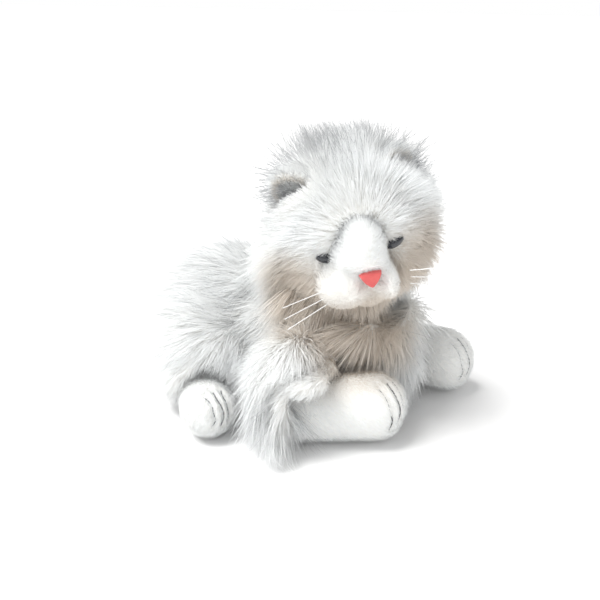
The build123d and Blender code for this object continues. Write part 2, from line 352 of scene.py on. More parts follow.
def pile_tree():
    """Hairs on a surface: rooted at random, combed by its own values, bent and gathered in tufts.

    They are kept inside a box, and above the floor.
    """
    tree = bpy.data.node_groups.new("Pile", "GeometryNodeTree")
    tree.is_modifier = True
    tree.interface.new_socket("Geometry", in_out="INPUT", socket_type="NodeSocketGeometry")
    for name, kind, default in (
        ("Density", "Float", 1e5),
        ("Seed", "Int", 1),
        ("Segments", "Int", 4),
        ("Width", "Float", 0.0004),
        ("Length", "Float", 1.0),
        ("Spread", "Float", 0.25),
        ("Tuft size", "Float", 0.012),
        ("Tuft pull", "Float", 0.3),
        ("Droop", "Float", 0.3),
        ("Wave", "Float", 0.1),
        ("Lowest", "Vector", (-1.0, -1.0, 0.0)),
        ("Highest", "Vector", (1.0, 1.0, 1.0)),
        ("Material", "Material", None),
    ):
        socket = tree.interface.new_socket(
            name, in_out="INPUT", socket_type=f"NodeSocket{kind}"
        )
        if default is not None:
            socket.default_value = default
    tree.interface.new_socket("Geometry", in_out="OUTPUT", socket_type="NodeSocketGeometry")
    g = Graph(tree)
    given = g.put("NodeGroupInput").outputs

    def named(name, kind="FLOAT_VECTOR"):
        return g.put(
            "GeometryNodeInputNamedAttribute", {"Name": name}, data_type=kind
        ).outputs["Attribute"]

    def store(geometry, name, value, kind="FLOAT_VECTOR"):
        return g.put(
            "GeometryNodeStoreNamedAttribute",
            {"Geometry": geometry, "Name": name, "Value": value},
            data_type=kind,
            domain="POINT",
        ).outputs[0]

    def chance(offset):
        return g.put(
            "FunctionNodeRandomValue",
            {"Seed": g.math("ADD", given["Seed"], float(offset))},
            data_type="FLOAT_VECTOR",
        ).outputs["Value"]

    rooted = g.put(
        "GeometryNodeDistributePointsOnFaces",
        {
            "Mesh": given["Geometry"],
            "Density": g.math(
                "MULTIPLY", given["Density"], g.parts(named("pile"))["Z"]
            ),
            "Seed": given["Seed"],
        },
        distribute_method="RANDOM",
    )
    points = store(rooted.outputs["Points"], "root", g.put("GeometryNodeInputPosition").outputs[0])
    points = store(points, "out", rooted.outputs["Normal"])
    points = store(points, "chance", chance(11))
    points = store(points, "fate", chance(23))

    grid = g.put(
        "GeometryNodeMeshGrid",
        {"Size X": 1.0, "Size Y": 1.0, "Vertices X": 2, "Vertices Y": given["Segments"]},
    ).outputs["Mesh"]
    at = g.parts(g.put("GeometryNodeInputPosition").outputs[0])
    up = g.math("ADD", at["Y"], 0.5)
    narrowed = g.math("MULTIPLY", at["X"], g.math("SUBTRACT", 1.0, g.math("POWER", up, 2.2)))
    hair = g.put(
        "GeometryNodeSetPosition",
        {
            "Geometry": grid,
            "Position": g.put("ShaderNodeCombineXYZ", {0: narrowed, 1: up}).outputs[0],
        },
    ).outputs[0]
    hair = g.put("GeometryNodeMergeByDistance", {"Geometry": hair, "Distance": 1e-4}).outputs[0]
    stood = g.put("GeometryNodeInstanceOnPoints", {"Points": points, "Instance": hair}).outputs[0]
    real = g.put("GeometryNodeRealizeInstances", {"Geometry": stood}).outputs[0]

    root, out = named("root"), named("out")
    one, two = g.parts(named("chance")), g.parts(named("fate"))
    pile = g.parts(named("pile"))
    local = g.parts(g.vector("SUBTRACT", g.put("GeometryNodeInputPosition").outputs[0], root))
    t = local["Y"]
    half = g.math("MULTIPLY", g.math("MULTIPLY", t, t), 0.5)
    length = g.math(
        "MULTIPLY",
        g.math("MULTIPLY", pile["X"], given["Length"]),
        g.math("MULTIPLY_ADD", one["X"], 0.55, 0.68),
    )
    stray = g.times(
        g.vector("SUBTRACT", named("fate"), (0.5, 0.5, 0.5)),
        g.math("MULTIPLY", given["Spread"], 2.0),
    )
    swirl = g.put(
        "ShaderNodeTexNoise",
        {"Vector": root, "Scale": 45.0, "Detail": 1.0},
        noise_dimensions="3D",
    ).outputs["Color"]
    swirl = g.times(
        g.vector("SUBTRACT", swirl, (0.5, 0.5, 0.5)), g.math("MULTIPLY", given["Wave"], 5.0)
    )
    comb = g.vector("NORMALIZE", g.total(named("comb"), stray, swirl))
    lift = pile["Y"]
    foot = g.vector(
        "NORMALIZE", g.total(g.times(out, g.math("ADD", lift, 0.35)), g.times(comb, 0.8))
    )
    tip = g.vector(
        "NORMALIZE",
        g.total(
            g.times(out, lift),
            comb,
            g.put("ShaderNodeCombineXYZ", {2: g.math("MULTIPLY", given["Droop"], -1.0)}).outputs[0],
        ),
    )
    run = g.total(
        g.times(foot, g.math("SUBTRACT", t, half)), g.times(tip, half)
    )
    run = g.times(run, length)
    cell = g.put(
        "ShaderNodeTexVoronoi",
        {"Vector": root, "Scale": g.math("DIVIDE", 1.0, given["Tuft size"])},
        voronoi_dimensions="3D",
    ).outputs["Position"]
    pull = g.vector("SUBTRACT", cell, root)
    pull = g.vector("SUBTRACT", pull, g.times(out, g.vector("DOT_PRODUCT", pull, out)))
    pull = g.times(
        pull, g.math("MULTIPLY", given["Tuft pull"], g.math("POWER", t, 1.3))
    )
    course = g.total(g.times(foot, g.math("SUBTRACT", 1.0, t)), g.times(tip, t))
    across = g.vector("NORMALIZE", g.vector("CROSS_PRODUCT", course, out))
    over = g.vector("CROSS_PRODUCT", across, course)
    twist = g.math("MULTIPLY", g.math("SUBTRACT", one["Y"], 0.5), 1.5)
    side = g.total(
        g.times(across, g.math("COSINE", twist)), g.times(over, g.math("SINE", twist))
    )
    width = g.math(
        "MULTIPLY",
        g.math("MULTIPLY", local["X"], given["Width"]),
        g.math("MULTIPLY_ADD", one["Z"], 0.6, 0.7),
    )
    place = g.total(root, run, pull, g.times(side, width))
    margin = g.times(named("chance"), 0.005)
    kept = g.vector("MAXIMUM", place, g.total(given["Lowest"], margin))
    kept = g.vector("MINIMUM", kept, g.vector("SUBTRACT", given["Highest"], margin))
    real = store(real, "along", t, "FLOAT")
    real = store(real, "tone", two["X"], "FLOAT")
    real = g.put("GeometryNodeSetPosition", {"Geometry": real, "Position": kept}).outputs[0]
    for name in ("root", "out", "comb", "pile", "chance", "fate"):
        real = g.put("GeometryNodeRemoveAttribute", {"Geometry": real, "Name": name}).outputs[0]
    dressed = {"Geometry": real, "Material": given["Material"]}
    real = g.put("GeometryNodeSetMaterial", dressed).outputs[0]
    g.put("NodeGroupOutput", {0: real})
    return tree


def set_pile(mesh, length, lift, density):
    """How long the hairs are at each vertex, how much they stand up and how close together they are."""
    ones = np.ones(len(mesh.vertices))
    give(mesh, "pile", np.stack([ones * length, ones * lift, ones * density], 1))


def comb_out(name, skin, body, slot, material, blades, seed, **sizes):
    """Pile on a copy of a skin mesh, as a plain mesh that rides on a body."""
    tree = bpy.data.node_groups.get("Pile") or pile_tree()
    weight = np.zeros(len(skin.vertices) * 3)
    skin.attributes["pile"].data.foreach_get("vector", weight)
    weight = weight.reshape(-1, 3)[:, 2]
    area = sum(p.area * weight[list(p.vertices)].mean() for p in skin.polygons)
    low, high = np.array(CAD_BOX[0]), np.array(CAD_BOX[1])
    proud = 0.028 * (high - low) + 0.0095
    values = {
        "Density": blades / area, "Seed": seed, "Material": material,
        "Lowest": [*(low - proud)[:2], 0.0002], "Highest": list(high + proud), **sizes,
    }
    return sew(name, from_tree(tree, skin.copy(), values), body, material, slot)


# ---------------------------------------------------------------- materials


def new_material(name):
    material = bpy.data.materials.new(name)
    material.use_nodes = True
    tree = material.node_tree
    tree.nodes.clear()
    return material, Graph(tree)


def ramp(g, value, *stops):
    node = g.put("ShaderNodeValToRGB", {0: value})
    elements = node.color_ramp.elements
    while len(elements) < len(stops):
        elements.new(0.5)
    for element, (position, colour) in zip(elements, stops):
        element.position = position
        element.color = (*colour[:3], 1.0)
    return node.outputs[0]


def blend_colours(g, share, a, b, how="MIX"):
    return g.put(
        "ShaderNodeMix", {0: share, 6: a, 7: b}, data_type="RGBA", blend_type=how
    ).outputs[2]


def rgba(colour):
    return (*colour[:3], 1.0)


def hollow_share(g, coordinates):
    """How much painted shade: 1 in the hollows under the head, 0 out on the coat."""
    share = 0.0
    for spot, full, none in PAINTED_SHADE_SPOTS:
        away = g.vector("DISTANCE", coordinates, tuple(spot))
        here = g.put(
            "ShaderNodeMapRange", {0: away, 1: full, 2: none, 3: 1.0, 4: 0.0},
            interpolation_type="SMOOTHSTEP",
        ).outputs[0]
        share = g.math("MAXIMUM", here, share)
    return share


def hair_material(name, root, tip, shade, sheen=0.3, hollow=None):
    """Pile that is deeper in colour at its roots, as painted shade in the depth of the pile, with paler and
    darker hairs, slow drifts of warmth and, where a colour for it is given, painted shade under the head.
    """
    material, g = new_material(name)
    along = g.put("ShaderNodeAttribute", attribute_name="along").outputs["Fac"]
    tone = g.put("ShaderNodeAttribute", attribute_name="tone").outputs["Fac"]
    # Roots deeper in colour than the tips: painted shade in the depth of the pile
    colour = ramp(g, along, (0.0, root), (0.55, tip), (1.0, tip))
    colour = blend_colours(g, g.math("MULTIPLY", tone, 0.35), colour, rgba(shade))
    coordinates = g.put("ShaderNodeTexCoord").outputs["Object"]
    drift = g.put(
        "ShaderNodeTexNoise", {"Vector": coordinates, "Scale": 14.0, "Detail": 2.0}
    ).outputs["Fac"]
    drift = g.put(
        "ShaderNodeMapRange", {0: drift, 1: 0.4, 2: 0.75, 3: 0.0, 4: 0.35}
    ).outputs[0]
    colour = blend_colours(g, drift, colour, rgba(shade))
    # Painted shade under the head: the pile darkened and warmed round the spots at the throat, under the
    # near cheek and on the far side
    if hollow:
        share = g.math("MULTIPLY", hollow_share(g, coordinates), 0.75)
        colour = blend_colours(g, share, colour, rgba(hollow))
    shader = g.put(
        "ShaderNodeBsdfPrincipled",
        {
            "Base Color": colour,
            "Roughness": 0.6,
            "Sheen Weight": sheen,
            "Sheen Roughness": 0.5,
            "Specular IOR Level": 0.3,
        },
    )
    glow = g.put("ShaderNodeBsdfTranslucent", {"Color": colour})
    both = g.put("ShaderNodeMixShader", {0: 0.42, 1: shader.outputs[0], 2: glow.outputs[0]})
    g.put("ShaderNodeOutputMaterial", {0: both.outputs[0]})
    return material


def cloth_material(name, colour, dark, scale=900.0, depth=0.3):
    """Knitted backing that shows between the hairs."""
    material, g = new_material(name)
    coordinates = g.put("ShaderNodeTexCoord").outputs["Object"]
    weave = g.put(
        "ShaderNodeTexNoise", {"Vector": coordinates, "Scale": scale, "Detail": 3.0}
    ).outputs["Fac"]
    shade = blend_colours(g, weave, rgba(dark), rgba(colour))
    bump = g.put(
        "ShaderNodeBump", {"Strength": depth, "Distance": 0.0006, "Height": weave}
    ).outputs[0]
    shader = g.put(
        "ShaderNodeBsdfPrincipled",
        {
            "Base Color": shade,
            "Roughness": 0.85,
            "Sheen Weight": 0.3,
            "Normal": bump,
        },
    )
    g.put("ShaderNodeOutputMaterial", {0: shader.outputs[0]})
    return material


def material_named(name, make, *values, **more):
    return bpy.data.materials.get(name) or make(name, *values, **more)


def colours():
    return bpy.context.scene.plush_cat_colours


def sizes():
    return bpy.context.scene.plush_cat_sizes


def white_hair():
    c = colours()
    return material_named(
        "Long pile", hair_material, c.root, c.coat, c.shade, hollow=c.hollow
    )


def stray_hair():
    c = colours()
    # Stray hairs white at the root and dark grey at the tips: painted shade on white hairs
    return material_named("Stray pile", hair_material, c.coat, c.stray, c.shade)


def short_hair():
    c = colours()
    return material_named(
        "Short pile", hair_material, c.short_root, c.coat, c.shade, hollow=c.hollow
    )


def backing():
    c = colours()
    # The backing takes the roots' colour: painted shade in the gaps between the hairs
    return material_named("Pile backing", cloth_material, c.root, c.shade)


# ---------------------------------------------------------------- the coat


def arm_windows():
    """The space in front of each upper arm where its forearm shows, as two corners."""
    found = []
    for side in SIDES:
        arm, paw = middle(f"upper_arm_{side}_cover"), middle(f"foreleg_{side}_cover")
        top = corners(f"foreleg_{side}_cover")[1][2]
        outside = np.sign(arm[0])
        inner = paw[0] - outside * 0.010
        low = np.array([inner, -0.25, -0.05])
        high = np.array([outside * 0.25, arm[1] - 0.012, top + 0.003])
        found.append((np.minimum(low, high), np.maximum(low, high)))
    return found


def arm_front(points):
    """1 where the coat borders a forearm."""
    share = np.zeros(len(points))
    for low, high in arm_windows():
        away = np.linalg.norm(np.maximum(0, np.maximum(low - points, points - high)), axis=1)
        share = np.maximum(share, 1 - ease(away, 0.010, 0.028))
    return share


def trunk_inset(points, normals):
    return 0.004 + 0.009 * ease(points[:, 2], 0.004, 0.03)


def trunk_comb(skin):
    p, n = places(skin), outward(skin)
    side = np.sign(p[:, 0])
    chest = 1 - ease(p[:, 1], -0.12, -0.05)
    rump = ease(p[:, 1], 0.07, 0.13)
    zero = np.zeros(len(p))
    flow = np.stack([zero, zero + 0.8, zero - 0.6], 1)
    flow = mix(flow, np.stack([side * 0.25, zero, zero - 1], 1), chest)
    flow = mix(flow, np.stack([zero, zero + 0.5, zero - 1], 1), rump)
    length = mix(np.full(len(p), 0.030), 0.037, chest)
    for s in SIDES:
        arm = middle(f"upper_arm_{s}_cover")
        outside = np.sign(arm[0])
        tip = np.array([arm[0] + outside * 0.060, arm[1] - 0.012, -0.004])
        here = 1 - ease(apart(p, arm), 0.038, 0.062)
        flow = mix(flow, unit(tip - p), here)
        low = here * (1 - ease(p[:, 2], 0.03, 0.08))
        length = mix(length, 0.048, low)
        length = mix(length, 0.022, low * ease(-n[:, 1], 0.15, 0.6))
        foot = middle(f"hind_foot_{s}_cover")
        length = mix(length, 0.014, 1 - ease(apart(p, foot), 0.03, 0.06))
    bare = arm_front(p) * ease(p[:, 2], 0.035, 0.055)
    flow = mix(flow, np.stack([side * 0.5, zero + 0.6, zero - 0.5], 1), bare)
    length = mix(length, 0.009, bare)
    top = ease(n[:, 2], 0.5, 1.0)
    lift = 0.32 - 0.1 * top - 0.2 * bare
    under = 1 - ease(p[:, 2], 0.0, 0.02)
    length = mix(length, 0.016, under * (n[:, 2] < -0.3))
    density = 1 - 0.6 * (n[:, 2] < -0.6)
    give(skin, "comb", lie_flat(flow, n))
    set_pile(skin, length, lift, density)


def head_inset(muzzle):
    """Deep under the long coat and shallow round the face."""
    tree = surface(muzzle)

    def inset(points, normals):
        gap = distance_to(tree, points)
        eye = np.minimum(apart(points, EYES["left"]), apart(points, EYES["right"]))
        ear = np.minimum(apart(points, EARS["left"]), apart(points, EARS["right"]))
        spots = (ease(gap, 0.004, 0.04), ease(eye, 0.012, 0.04), ease(ear, 0.015, 0.05))
        return 0.0015 + 0.0115 * np.minimum.reduce(spots)

    return inset


def head_comb(skin, muzzle):
    p, n = places(skin), outward(skin)
    origin = BROW * 0.6 + NOSE * 0.4 + FACING * 0.01
    flow = unit(p - origin)
    behind = ease(-(p - HEAD) @ FACING, 0.0, 0.05)
    down = np.array([0, 0, -1.0])
    flow = flow + np.outer(0.35 + 0.9 * behind, down)
    crown = ease(n[:, 2], 0.3, 0.9) * ease(p[:, 2], HEAD[2] + 0.02, HEAD[2] + 0.05)
    flow = flow + np.outer(crown, -FACING * 0.6 + [0, 0, 0.3])
    gap = distance_to(surface(muzzle), p)
    length = 0.012 + 0.022 * ease(gap, 0.004, 0.04)
    for side in SIDES:
        away = p - EYES[side]
        reach = np.linalg.norm(away, axis=1)
        above = ease(away[:, 2], -0.002, 0.006)
        length = np.minimum(length, 0.003 + 0.0025 * above + 0.030 * ease(reach, 0.012, 0.034))
    ear = np.minimum(apart(p, EARS["left"]) + 0.012, apart(p, EARS["right"]))
    length = np.minimum(length, 0.008 + 0.028 * ease(ear, 0.018, 0.055))
    below = 1 - ease(p[:, 2], NOSE[2] - 0.035, NOSE[2] - 0.012)
    length = np.maximum(length, 0.032 * below)
    mane = (1 - ease(p[:, 2], HEAD[2] - 0.03, HEAD[2] + 0.015)) * ease(gap, 0.02, 0.045)
    length = length + 0.012 * mane
    flow = flow + np.outer(mane, down * 0.8)
    lift = 0.25 + 0.5 * crown + 0.1 * mane
    eye = np.minimum(apart(p, EYES["left"]), apart(p, EYES["right"]))
    density = np.where(eye < 0.0065, 0.0, 1.0) * np.where(gap < 0.001, 0.0, 1.0)
    give(skin, "comb", lie_flat(flow, n))
    set_pile(skin, length, lift, density)


def head_strays(skin):
    """Longer loose hairs that stand up on the crown, round the back and along the mane."""
    strays = skin.copy()
    p, n = places(strays), outward(strays)
    crown = ease(p[:, 2], HEAD[2] + 0.015, HEAD[2] + 0.05) * ease(-(p - HEAD) @ FACING, -0.03, 0.0)
    edge = ease(-(p - HEAD) @ FACING, -0.03, 0.01)
    set_pile(strays, 0.024 + 0.018 * crown, 0.4 + 0.8 * crown, crown + 0.3 * edge)
    return strays


def muzzle_comb(muzzle, skull):
    """Shapes the snout a little to one side and lays short pile that lengthens where it meets the head."""
    p = places(muzzle)
    sideways = (p - NOSE) @ ACROSS
    far = -0.010 * ease(sideways, 0.008, 0.034)
    near = -0.006 * ease(-sideways, 0.010, 0.034)
    high = ease(p[:, 2], NOSE[2] + 0.008, NOSE[2] + 0.03)
    p = p + np.outer((far + near) * (1 - high) - 0.22 * high * sideways, ACROSS)
    move(muzzle, p)
    n = outward(muzzle)
    join = 1 - ease(distance_to(surface(skull), p), 0.001, 0.018)
    flow = np.broadcast_to(-FACING + np.array([0, 0, 0.1]), p.shape)
    give(muzzle, "comb", lie_flat(flow, n))
    set_pile(muzzle, 0.0040 + 0.015 * join, 0.45 - 0.15 * join, 1 + 0.8 * join)


def plain_comb(skin, flow, length, lift=0.3):
    p, n = places(skin), outward(skin)
    flow = np.broadcast_to(np.asarray(flow, float), p.shape)
    give(skin, "comb", lie_flat(flow + 1e-4, n))
    set_pile(skin, length, lift, 1.0)


def trunk_strays(skin):
    """Loose hairs along the back, round the rump and on the elbows."""
    strays = skin.copy()
    p, n = places(strays), outward(strays)
    ridge = ease(n[:, 2], 0.4, 0.9) * ease(p[:, 1], -0.04, 0.02)
    rump = ease(p[:, 1], 0.06, 0.1)
    elbows = [middle(f"upper_arm_{s}_cover") * [1.2, 1, 0.4] for s in SIDES]
    elbow = np.max([1 - ease(apart(p, spot), 0.02, 0.05) for spot in elbows], axis=0)
    set_pile(strays, 0.036 + 0.008 * elbow, 0.42, np.maximum.reduce([ridge, rump, elbow]) + 0.05)
    return strays


class PLUSH_CAT_OT_trunk(bpy.types.Operator):
    """Stuffs the trunk with its haunches and upper arms, and combs its long coat"""

    bl_idname = "plush_cat.trunk"
    bl_label = "Trunk"

    def execute(self, context):
        sewn = ("trunk", "haunch", "upper", "belly")
        nodes = [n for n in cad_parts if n.split("_")[0] in sewn]
        windows = [block(*window) for window in arm_windows()]
        arms = [f"upper_arm_{side}_cover" for side in SIDES]
        form = stuffed_form(nodes, 0.004, trunk_inset, cutters=windows, rounds=[*arms, "neck_core"])
        trunk_comb(form)
        skin = sew("trunk_skin", form, "trunk", backing(), "long_pile", *nodes)
        s = sizes()
        for k, reach in enumerate((0.6, 0.9, 1.0, 1.1)):
            comb_out(
                f"trunk_coat_{k + 1}", form, "trunk", "long_pile", white_hair(),
                s.coat_hairs, 100 + k, Width=s.hair_width, Spread=0.2 + 0.05 * k,
                Length=reach, Wave=0.07, **{"Tuft pull": 0.22},
            )
        comb_out(
            "trunk_wisps", trunk_strays(form), "trunk", "long_pile", stray_hair(), 5000, 140,
            Width=s.hair_width * 0.5, Spread=0.5, Length=1.0, Wave=0.2,
            **{"Tuft size": 0.02, "Tuft pull": 0.6},
        )
        return {"FINISHED"}


class PLUSH_CAT_OT_head(bpy.types.Operator):
    """Stuffs the head and muzzle and combs their long and short pile"""

    bl_idname = "plush_cat.head"
    bl_label = "Head"

    def execute(self, context):
        snout = ["muzzle_bridge", "muzzle_fill", "chin_pad"]
        snout += [f"whisker_pad_{side}" for side in SIDES]
        muzzle = stuffed_form(snout, 0.002, 0.002, 2)
        form = stuffed_form(["head_cover", "head_fill"], 0.004, head_inset(muzzle))
        muzzle_comb(muzzle, form)
        head_comb(form, muzzle)
        skin = sew("head_skin", form, "head", backing(), "long_pile", "head_cover", "head_fill")
        face = sew("muzzle_skin", muzzle, "head", backing(), "short_pile", *snout)
        s = sizes()
        for k, reach in enumerate((0.6, 1.0, 1.08)):
            comb_out(
                f"head_coat_{k + 1}", form, "head", "long_pile", white_hair(),
                s.coat_hairs, 200 + k, Width=s.hair_width, Spread=0.18 + 0.05 * k,
                Length=reach, Wave=0.06, **{"Tuft pull": 0.18},
            )
        comb_out(
            "head_wisps", head_strays(form), "head", "long_pile", stray_hair(), 6500, 240,
            Width=s.hair_width * 0.5, Spread=0.45, Length=1.0, Wave=0.25, Droop=0.0,
            **{"Tuft size": 0.02, "Tuft pull": 0.4},
        )
        comb_out(
            "muzzle_pile", muzzle, "head", "short_pile", short_hair(), 22000, 250,
            Width=0.0004, Spread=0.3, Segments=3, Droop=0.1,
            **{"Tuft pull": 0.25, "Tuft size": 0.005},
        )
        return {"FINISHED"}


class PLUSH_CAT_OT_tail(bpy.types.Operator):
    """Stuffs the tail and the neck and combs their long coat"""

    bl_idname = "plush_cat.tail"
    bl_label = "Tail and neck"

    def execute(self, context):
        form = stuffed_form(["tail_cover", "tail_fill"], 0.0035, 0.010)
        p, n = places(form), outward(form)
        around = unit(p - np.array([p[:, 0].mean(), p[:, 1].mean(), 0.0]))
        flow = np.stack([around[:, 1] * 0.8, -around[:, 0] * 0.8, np.full(len(p), -0.3)], 1)
        give(form, "comb", lie_flat(flow, n))
        set_pile(form, 0.026, 0.35, 1.0)
        skin = sew("tail_skin", form, "tail", backing(), "long_pile", "tail_cover", "tail_fill")
        s = sizes()
        comb_out(
            "tail_coat", form, "tail", "long_pile", white_hair(), 22000, 300, Width=s.hair_width
        )
        form = stuffed_form(["neck_core"], 0.003, 0.002)
        plain_comb(form, (0, 0, -1), 0.026, 0.8)
        core = sew("neck_skin", form, "neck", backing(), "long_pile", "neck_core")
        comb_out(
            "neck_coat", form, "neck", "long_pile", white_hair(), 5000, 320, Width=s.hair_width
        )
        return {"FINISHED"}


def stitch_clouds(node):
    """The points of each stitch of a frame node."""
    bm = bmesh.new()
    bm.from_mesh(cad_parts[node].data)
    bmesh.ops.remove_doubles(bm, verts=bm.verts, dist=MERGE)
    clouds = [np.array([v.co[:] for v in body]) for body in loose_bodies(bm)]
    bm.free()
    return clouds


def middle_line(cloud, count=14):
    """The middle line of a bent tube, from the points of its wall."""
    centre = cloud.mean(0)
    axes = np.linalg.svd(cloud - centre, full_matrices=False)[2]
    flat = (cloud - centre) @ axes[:2].T
    sums = np.c_[2 * flat, np.ones(len(flat))]
    fit = np.linalg.lstsq(sums, (flat**2).sum(1), rcond=None)[0]
    spoke = flat - fit[:2]
    toward = -fit[:2] / np.linalg.norm(fit[:2])
    angle = np.arctan2(
        spoke @ np.array([-toward[1], toward[0]]), spoke @ toward
    )
    stops = np.linspace(angle.min(), angle.max(), count + 1)
    line = []
    for low, high in zip(stops[:-1], stops[1:]):
        here = (angle >= low) & (angle <= high)
        if here.any():
            line.append(cloud[here].mean(0))
    return np.array(line)


def thread_tree():
    """A thread swept along each chain of edges."""
    tree = bpy.data.node_groups.new("Thread", "GeometryNodeTree")
    tree.is_modifier = True
    for name, kind in (("Geometry", "Geometry"), ("Radius", "Float"), ("Material", "Material")):
        tree.interface.new_socket(name, in_out="INPUT", socket_type=f"NodeSocket{kind}")
    tree.interface.new_socket("Geometry", in_out="OUTPUT", socket_type="NodeSocketGeometry")
    g = Graph(tree)
    given = g.put("NodeGroupInput").outputs
    line = g.put("GeometryNodeMeshToCurve", {0: given["Geometry"]}).outputs[0]
    line = g.put(
        "GeometryNodeCurveSplineType", {"Curve": line}, spline_type="CATMULL_ROM"
    ).outputs[0]
    line = g.put("GeometryNodeResampleCurve", {"Curve": line, "Count": 60}).outputs[0]
    ring = g.put(
        "GeometryNodeCurvePrimitiveCircle", {"Resolution": 8, "Radius": given["Radius"]}
    ).outputs[0]
    tube = g.put(
        "GeometryNodeCurveToMesh", {"Curve": line, "Profile Curve": ring, "Fill Caps": True}
    ).outputs[0]
    tube = g.put("GeometryNodeRealizeInstances", {0: tube}).outputs[0]
    dressed = {"Geometry": tube, "Material": given["Material"]}
    tube = g.put("GeometryNodeSetMaterial", dressed).outputs[0]
    g.put("NodeGroupOutput", {0: tube})
    return tree


def from_tree(tree, mesh, values):
    """mesh put through a node tree, as a plain mesh."""
    base = add_object("Base", mesh)
    mod = base.modifiers.new("Nodes", "NODES")
    mod.node_group = tree
    for item in tree.interface.items_tree:
        if item.in_out == "INPUT" and item.name in values:
            mod[item.identifier] = values[item.name]
    made = evaluated_mesh(base)
    base.modifiers.remove(mod)
    bpy.data.objects.remove(base)
    made.polygons.foreach_set("use_smooth", [True] * len(made.polygons))
    return made


def thread_piece(name, body, skin, clouds):
    """The toe threads, drawn down into the cloth."""
    tree = surface(skin)
    points, edges = [], []
    across = clouds[-1].mean(0) - clouds[0].mean(0)
    ranked = sorted(clouds, key=lambda cloud: cloud.mean(0) @ across)
    for order, cloud in enumerate(ranked):
        line = []
        depth = 0.0006 if order == 1 else 0.0
        for q in middle_line(cloud):
            spot, normal, _, _ = tree.find_nearest(Vector(q))
            line.append(np.array(spot + normal * depth))
        line = np.array(line)
        for _ in range(4):
            line[1:-1] = (line[:-2] + 2 * line[1:-1] + line[2:]) / 4
        edges += [(len(points) + k, len(points) + k + 1) for k in range(len(line) - 1)]
        points += [tuple(q) for q in line]
    mesh = bpy.data.meshes.new("Lines")
    mesh.from_pydata(points, edges, [])
    material = material_named("Toe thread", thread_material, colours().thread)
    tube = from_tree(
        bpy.data.node_groups.get("Thread") or thread_tree(), mesh,
        {"Radius": sizes().thread_radius, "Material": material},
    )
    sew(f"{name}_thread", tube, body, material, "toe_thread", f"{name}_stitches")


def toe_lines(name):
    """The toe lines of a foot, turned about the middle of its ball."""
    lines = stitch_clouds(f"{name}_stitches")
    if name not in TOE_TURNS:
        return lines
    angle = math.radians(TOE_TURNS[name])
    turn = np.array([[math.cos(angle), -math.sin(angle)], [math.sin(angle), math.cos(angle)]])
    cloud = np.concatenate(lines)[:, :2]
    heading = unit(cloud.mean(0) - middle(f"{name}_cover")[:2])
    ball = cloud[(cloud @ heading).argmax()] - heading * TOE_REACH[name]
    for line in lines:
        line[:, :2] = (line[:, :2] - ball) @ turn.T + ball
    return lines


class PLUSH_CAT_OT_feet(bpy.types.Operator):
    """Stuffs the four feet, draws in their toe lines, sews them and lays their short pile"""

    bl_idname = "plush_cat.feet"
    bl_label = "Feet"

    def execute(self, context):
        s = sizes()
        for limb in ("foreleg", "hind_foot"):
            for side in SIDES:
                name = f"{limb}_{side}"
                body = name if limb == "foreleg" else "trunk"
                form = stuffed_form([f"{name}_cover", f"{name}_fill"], 0.0022, 0.0022, 5)
                p, n = places(form), outward(form)
                lines = toe_lines(name)
                gap = np.min([apart_from_cloud(p, line) for line in lines], axis=0)
                if limb == "foreleg":
                    p[:, 2] *= FORELEG_FULLNESS
                p = p - n * (TOE_GROOVE * np.exp(-((gap / TOE_GROOVE_WIDTH) ** 2)))[:, None]
                p[:, 2] = np.maximum(p[:, 2], FLOOR_GAP)
                move(form, p)
                n = outward(form)
                toes = np.concatenate(lines).mean(0)
                flow = toes - middle("trunk_cover")
                flow[2] = -0.05
                give(form, "comb", lie_flat(np.broadcast_to(unit(flow), p.shape), n))
                shorter = np.exp(-((gap / TOE_GROOVE_WIDTH) ** 2))
                set_pile(form, 0.0045 - 0.0018 * shorter, 0.45, 1 - 0.3 * shorter)
                hidden = (f"{name}_cover", f"{name}_fill")
                skin = sew(f"{name}_skin", form, body, backing(), "short_pile", *hidden)
                comb_out(
                    f"{name}_pile", form, body, "short_pile", short_hair(),
                    s.foot_hairs, 400 + len(name), Width=0.00042, Spread=0.3, Segments=3,
                    Droop=0.1, **{"Tuft pull": 0.1, "Tuft size": 0.004},
                )
                thread_piece(name, body, form, lines)
        return {"FINISHED"}


def apart_from_cloud(points, cloud):
    """Distance of each point to the nearest of a cloud."""
    out = np.empty(len(points))
    for i in range(0, len(points), 2000):
        out[i : i + 2000] = np.linalg.norm(
            points[i : i + 2000, None] - cloud[None], axis=2
        ).min(1)
    return out


def thread_material(name, colour):
    """Twisted sewing thread."""
    material, g = new_material(name)
    coordinates = g.put("ShaderNodeTexCoord").outputs["Object"]
    twist = g.put(
        "ShaderNodeTexWave", {"Vector": coordinates, "Scale": 420.0, "Distortion": 2.0},
        bands_direction="DIAGONAL",
    ).outputs["Fac"]
    shade = blend_colours(g, twist, rgba([x * 0.6 for x in colour]), rgba(colour))
    bump = g.put("ShaderNodeBump", {"Strength": 0.6, "Distance": 0.0003, "Height": twist}).outputs[0]
    shader = g.put(
        "ShaderNodeBsdfPrincipled",
        {"Base Color": shade, "Roughness": 0.6, "Sheen Weight": 0.2, "Normal": bump},
    )
    g.put("ShaderNodeOutputMaterial", {0: shader.outputs[0]})
    return material


